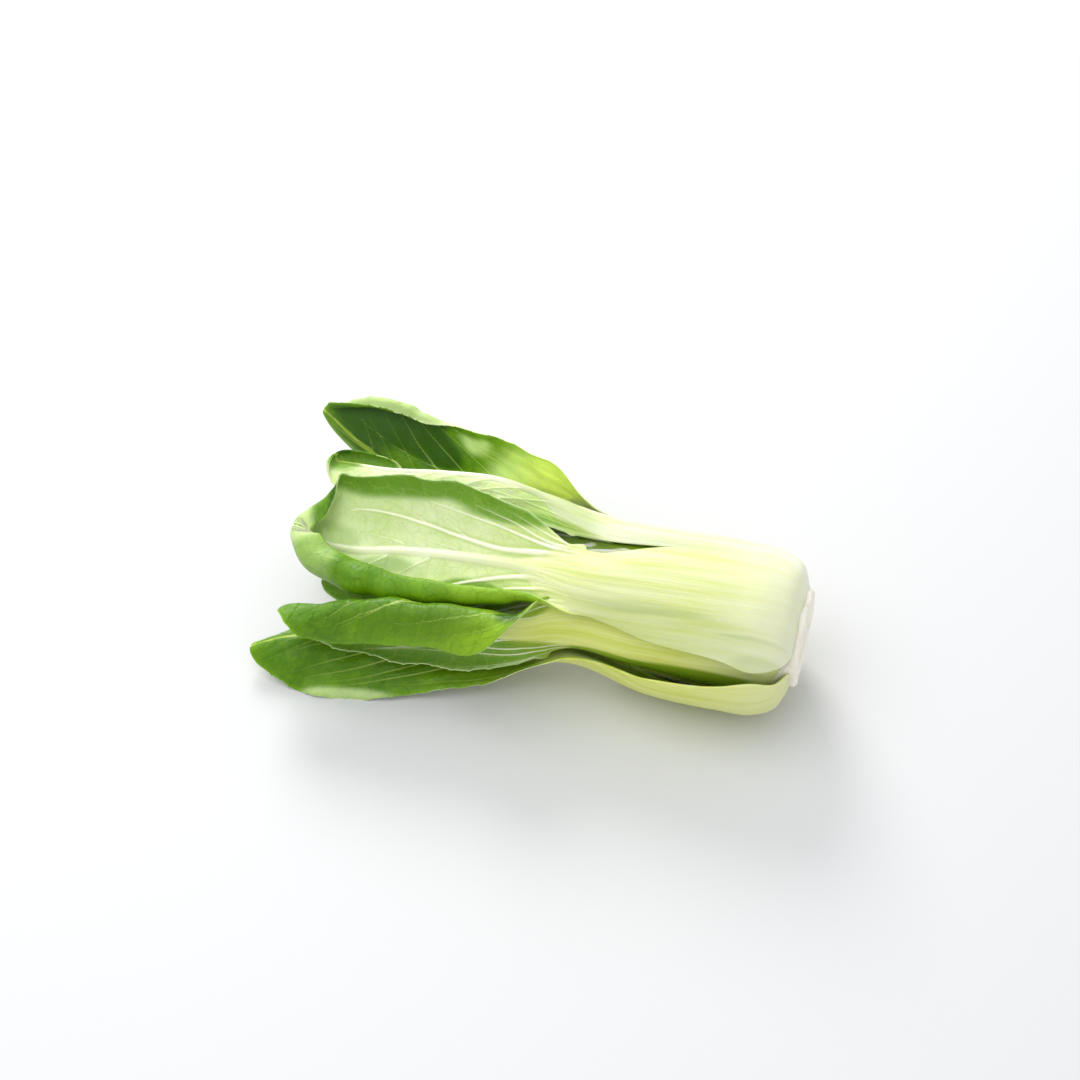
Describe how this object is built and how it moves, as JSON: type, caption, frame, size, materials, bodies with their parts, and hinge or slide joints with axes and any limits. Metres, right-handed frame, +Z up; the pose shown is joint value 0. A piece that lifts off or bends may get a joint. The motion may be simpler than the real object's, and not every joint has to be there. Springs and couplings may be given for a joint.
{
  "type": "green-stem pak choi head",
  "caption": "Head of green-stem pak choi lying on its side: pale green clasping stalks round a cut butt, and curled dark green blades with pale midribs.",
  "frame": {"origin": "centre of the bounding box at its base, on the surface that the head lies on", "axes": "+Z up; +X along the head from the leaf tips to the cut butt; +Y towards the back, away from the side that the picture is taken from"},
  "size_m": [0.194, 0.1038, 0.0607],
  "materials": {
    "cut_stem": "matt cut plant tissue, cream with a faint pink, slightly rough",
    "stalk": "smooth and waxy, pale yellow-green, finely ribbed along its length",
    "blade": "smooth and satin, dark green on its inner side and paler outside, with pale veins"
  },
  "bodies": {
    "root": {"butt": "cut_stem", "leaf_1_stalk": "stalk", "leaf_1_blade": "blade", "leaf_2_stalk": "stalk", "leaf_2_blade": "blade", "leaf_3_stalk": "stalk", "leaf_3_blade": "blade", "leaf_4_stalk": "stalk", "leaf_4_blade": "blade", "leaf_5_stalk": "stalk", "leaf_5_blade": "blade", "leaf_6_stalk": "stalk", "leaf_6_blade": "blade", "leaf_7_stalk": "stalk", "leaf_7_blade": "blade", "leaf_8_stalk": "stalk", "leaf_8_blade": "blade", "leaf_9_stalk": "stalk", "leaf_9_blade": "blade", "leaf_10_stalk": "stalk", "leaf_10_blade": "blade", "leaf_11_stalk": "stalk", "leaf_11_blade": "blade", "leaf_12_stalk": "stalk", "leaf_12_blade": "blade"}
  },
  "joints": []
}
